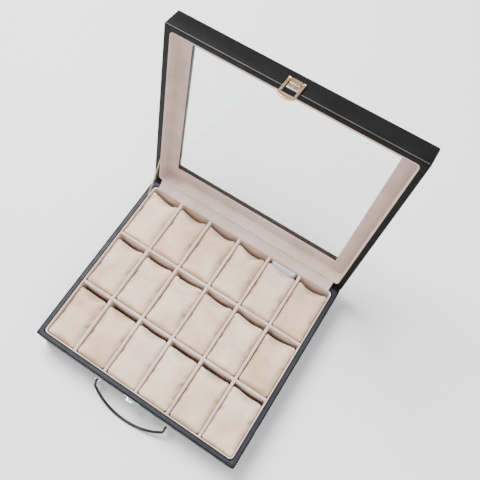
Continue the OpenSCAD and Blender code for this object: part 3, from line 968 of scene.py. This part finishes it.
def loop_piece():
    """The loop: two arms from the pin, and a bar with an arched outer edge and a raised lip."""
    points = node_points("latch_loop", LID_PLACE)
    low, high = points.min(0), points.max(0)
    pin = LID_PLACE.inverted() @ Vector(joint("latch_loop_swing")["pos_m"])
    half_w, arm_w, thickness, bow = high[0], 3.0 * MM, 1.4 * MM, 4.0 * MM
    window_low, inner_x = -13.4 * MM, half_w - arm_w
    tip_r, root_r, window_r = 1.3 * MM, 0.6 * MM, 1.5 * MM
    lip_w, lip_t, eye_r = 1.6 * MM, 2.8 * MM, 1.7 * MM
    bar_r = (half_w ** 2 + bow ** 2) / (2 * bow)
    spread = math.degrees(math.asin(half_w / bar_r))
    arch = arc((0, low[2] + bar_r), bar_r, -90 - spread, -90 + spread, 24)
    arm_top = pin.z + 2.0 * MM
    body = (
        arch
        + arc((half_w - tip_r, arm_top - tip_r), tip_r, 0, 90, 6)
        + arc((inner_x + root_r, arm_top - root_r), root_r, 90, 180, 4)
        + arc((inner_x - window_r, window_low + window_r), window_r, 0, -90, 6)
        + arc((-inner_x + window_r, window_low + window_r), window_r, -90, -180, 6)
        + arc((-inner_x - root_r, arm_top - root_r), root_r, 0, 90, 4)
        + arc((-half_w + tip_r, arm_top - tip_r), tip_r, 90, 180, 6)
    )
    plate = plate_mesh("loop_plate", [body], thickness, 0.35 * MM)
    plate.transform(at_front(-HALF_D - 2.5 * MM))
    near = spread * 0.93
    lip_inner = arc((0, low[2] + bar_r), bar_r - lip_w, -90 + near, -90 - near, 24)
    lip = plate_mesh("loop_lip", [arch[1:-1] + lip_inner], lip_t, 0.4 * MM)
    lip.transform(at_front(-HALF_D - 3.2 * MM))
    eyes = []
    for side in (-1, 1):
        x = side * (half_w - arm_w / 2)
        line = [Vector((x + side * d * arm_w / 2, pin.y, pin.z)) for d in (-1, -0.8, 0.8, 1)]
        eyes.append(tube_mesh("eye", line, [1.4 * MM, eye_r, eye_r, 1.4 * MM], (0, 1, 0), 24))
    mesh = join_meshes("latch_loop_gold", [plate, lip, *eyes])
    add_piece("latch_loop_gold", mesh, GOLD, "latch_loop", ["latch_loop"],
              LID_PLACE)


def block_piece():
    """The latch's block: a bar with a round top edge and shallow grooves across its face."""
    points = node_points("latch_block", LID_PLACE)
    low, high = points.min(0), points.max(0)
    y0, y1, z0, z1 = low[1], high[1], low[2], high[2]
    mid_y, mid_z, r = (y0 + y1) / 2, (z0 + z1) / 2, (y1 - y0) / 2
    outline = rounded_profile([(y0, z0, 0.5 * MM), (y1, z0, 0.2 * MM), (y1, z1, r * 0.98),
                               (y0, z1, r * 0.98)], steps=8)
    steps, half, grooves, chamfer = 132, high[0], 9, 0.4 * MM
    grooved = half * 0.86
    section = []
    for k in range(steps + 1):
        x = -half + 2 * half * k / steps
        inside = abs(x) < grooved
        wave = math.cos(math.pi * grooves * x / grooved) if inside else 1
        depth = 0.22 * MM * max(0.0, 0.35 - wave) if inside else 0
        edge = max(0.0, (abs(x) - (half - chamfer)) / chamfer) * 0.35 * MM
        for p in outline:
            face = min(1.0, max(0.0, (mid_y - p.x) / r))
            tall = z0 + 0.8 * MM < p.y < z1 - 0.5 * MM
            inward = Vector((mid_y - p.x, mid_z - p.y)).normalized()
            moved = p + inward * edge + Vector((depth * face * tall, 0))
            section.append((x, moved.x, moved.y))
    n = len(outline)
    faces = grid_faces(steps + 1, n) + [tuple(range(n)), tuple(range(steps * n, (steps + 1) * n))]
    mesh = mesh_from("latch_block_gold", section, faces, sharp=50)
    add_piece("latch_block_gold", mesh, GOLD, "lid", ["latch_block"], LID_PLACE)


def hole_outline(x, y, r):
    """A round hole in a plate, drawn backwards."""
    return arc((x, y), r, 0, -340, 17)


def strike_plate():
    """The latch's bright back strip, with its nail in a small hole."""
    points = node_points("latch_plate", LID_PLACE)
    low, high = points.min(0), points.max(0)
    outline = rounded_rectangle((low[0], low[2]), (high[0], high[2]), 1.0 * MM)
    mesh = plate_mesh("latch_plate_steel", [outline, hole_outline(0, 2.8 * MM, 0.7 * MM)],
                      high[1] - low[1], 0.2 * MM)
    mesh.transform(at_front((low[1] + high[1]) / 2))
    add_piece("latch_plate_steel", mesh, STEEL, "lid", ["latch_plate"], LID_PLACE)


def catch_piece():
    """The catch: a nailed flange, and a tongue bent out of it with a turned-down lip."""
    low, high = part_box("catch_plate")
    nails_low, nails_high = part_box("catch_nails")
    nail_z = (nails_low.z + nails_high.z) / 2
    nail_x = nails_high.x - (nails_high.z - nails_low.z) / 2
    t = 0.8 * MM
    flange = plate_mesh("flange", [
        rounded_rectangle((low.x, low.z), (high.x, high.z), 1.2 * MM),
        hole_outline(-nail_x, nail_z, 0.7 * MM), hole_outline(nail_x, nail_z, 0.7 * MM),
    ], t, 0.2 * MM)
    flange.transform(at_front(-HALF_D - t / 2))
    tongue_top, lip, half, out = 43.6 * MM, 1.7 * MM, 6.5 * MM, low.y
    tongue = plate_mesh("tongue", [
        rounded_rectangle((-half, out), (half, -HALF_D), 0.9 * MM),
        hole_outline(0, (out - HALF_D) / 2, 0.9 * MM),
    ], t, 0.2 * MM)
    tongue.transform(Matrix.Translation((0, 0, tongue_top - t / 2)))
    turned = rounded_rectangle((-half, tongue_top - lip), (half, tongue_top), 0.5 * MM)
    edge = plate_mesh("lip", [turned], t, 0.2 * MM)
    edge.transform(at_front(out + t / 2))
    mesh = join_meshes("catch_steel", [flange, tongue, edge])
    add_piece("catch_steel", mesh, STEEL, "base", ["catch_plate"])


def handle_line():
    """Middle line of the handle, across and out from its pins: leg, bend, bow, bend and leg."""
    half, leg, bend, reach = 59 * MM, 6 * MM, 7 * MM, 32.9 * MM
    rise = reach - leg
    bow = ((half - bend) ** 2 + rise ** 2 - bend ** 2) / (2 * (rise - bend))
    turn = math.degrees(math.acos((half - bend) / (bow - bend)))
    line = [(half, leg * k / 4) for k in range(4)]
    line += arc((half - bend, leg), bend, 0, turn, 8)
    line += arc((0, reach - bow), bow, turn, 180 - turn, 80)[1:-1]
    line += arc((bend - half, leg), bend, 180 - turn, 180, 8)
    line += [(-half, leg * k / 4) for k in (3, 2, 1, 0)]
    return line


def handle_piece():
    """The handle: a leather roll, fullest in its middle, with end eyes and a stitched seam."""
    pin = Vector(joint("handle_swing")["pos_m"])
    drop = math.radians(47)  # below level, where it leans on the table
    end_r, fuller, eye_r = 1.6 * MM, 0.45 * MM, 3 * MM
    out = Vector((0, -math.cos(drop), -math.sin(drop)))
    line = [pin + Vector((x, 0, 0)) + out * v for x, v in handle_line()]
    half = len(line) / 2
    radii = [end_r + fuller * (1 - (abs(i + 0.5 - half) / half) ** 4) for i in range(len(line))]
    above = Vector((1, 0, 0)).cross(out)
    roll = tube_mesh("roll", line, radii, across=above, sides=20)
    parts = [roll]
    for side in (-1, 1):
        eye = [pin + Vector((line[0].x * side + w * MM, 0, 0)) for w in (-1.5, -1.2, 1.2, 1.5)]
        parts.append(tube_mesh("eye", eye, [2.5 * MM, eye_r, eye_r, 2.5 * MM], (0, 1, 0), 28))
    for i in range(10, len(line) - 10):
        ahead = (line[i + 1] - line[i - 1]).normalized()
        inward = above.cross(ahead).normalized()
        inward = inward if inward.dot(out) < 0 else -inward
        seat = line[i] + inward * (radii[i] - 0.08 * MM)
        stitch = [seat + ahead * d * MM + inward * lift * MM
                  for d, lift in ((-0.55, -0.12), (-0.3, 0.05), (0.3, 0.05), (0.55, -0.12))]
        thread = tube_mesh("stitch", stitch, [0.14 * MM, 0.2 * MM, 0.2 * MM, 0.14 * MM], above, 8)
        for face in thread.polygons:
            face.material_index = 1
        parts.append(thread)
    mesh = join_meshes("handle_leather_bow", parts)
    add_piece("handle_leather_bow", mesh, (HANDLE_LEATHER, THREAD), "handle",
              ["handle"])


handle_piece()
loop_piece()
block_piece()
strike_plate()
catch_piece()


# ---- CAD nodes that keep their shape ----

KEEP = {
    "base_bottom_cover": LEATHER, "base_bottom_board": BOARD, "base_front_board": BOARD,
    "base_back_board": BOARD, "base_left_board": BOARD, "base_right_board": BOARD,
    "base_floor_lining": VELVET, "lid_front_board": BOARD, "lid_back_board": BOARD,
    "lid_left_board": BOARD, "lid_right_board": BOARD, "window_long_rails": BOARD,
    "window_short_rails": BOARD, "glass_pane": GLASS, "catch_nails": STEEL, "latch_nails": STEEL,
    "handle_brackets": STEEL, "handle_pins": STEEL, "hinge_base_leaves": GOLD,
    "hinge_lid_leaves": GOLD, "hinge_pins": STEEL, "latch_pin": GOLD,
}
for node, material in KEEP.items():
    for spot in frame["nodes"][node].material_slots:
        spot.material = material


# ---- stage, light and camera ----

def floor():
    """A plain pale floor."""
    bpy.ops.mesh.primitive_plane_add(size=12)
    plane = bpy.context.object
    plane.name = "floor"
    s = Shader("pale_floor", Roughness=0.9, Specular_IOR_Level=0.1)
    s.tint(s.colours(s.noise(2), (0.3, (0.90, 0.90, 0.90)), (0.7, (0.93, 0.93, 0.93))))
    plane.data.materials.append(s.material)


def area_light(name, place, aim, size, power):
    light = bpy.data.lights.new(name, "AREA")
    light.size = size
    light.energy = power
    lamp = bpy.data.objects.new(name, light)
    lamp.location = place
    lamp.rotation_euler = (Vector(aim) - Vector(place)).to_track_quat("-Z", "Y").to_euler()
    bpy.context.scene.collection.objects.link(lamp)


def lights():
    """A pale surround, a soft key light behind the left side and a weak fill in front."""
    world = bpy.data.worlds.new("studio")
    bpy.context.scene.world = world
    world.use_nodes = True
    background = world.node_tree.nodes["Background"]
    background.inputs["Color"].default_value = (0.95, 0.97, 1.0, 1)
    background.inputs["Strength"].default_value = 0.84
    area_light("key", (-0.8, 0.5, 1.9), (0, 0.05, 0.05), 0.9, 94)
    area_light("fill", (1.1, -1.2, 1.3), (0, 0, 0.1), 1.5, 16)


def camera():
    """Above the right front corner, rolled, as the photograph is taken."""
    azimuth, elevation, roll = (math.radians(d) for d in (32.47, 69.55, 35.14))
    distance = 0.8477
    aim = Vector((-33.4 * MM, 84.1 * MM, RIM_Z))
    back = Vector((math.sin(azimuth) * math.cos(elevation),
                   -math.cos(azimuth) * math.cos(elevation), math.sin(elevation)))
    side = (-back).cross(Vector((0, 1, 0))).normalized()
    up = side.cross(-back)
    right = math.cos(roll) * side + math.sin(roll) * up
    up = -math.sin(roll) * side + math.cos(roll) * up
    data = bpy.data.cameras.new("camera")
    data.sensor_width = 36
    data.lens = 42.73
    data.shift_x, data.shift_y = 0.0773, 0.0285
    data.clip_start = 0.01
    view = bpy.data.objects.new("camera", data)
    view.matrix_world = Matrix.Translation(aim + back * distance) @ Matrix(
        (right, up, back)).transposed().to_4x4()
    bpy.context.scene.collection.objects.link(view)
    bpy.context.scene.camera = view


floor()
lights()
camera()
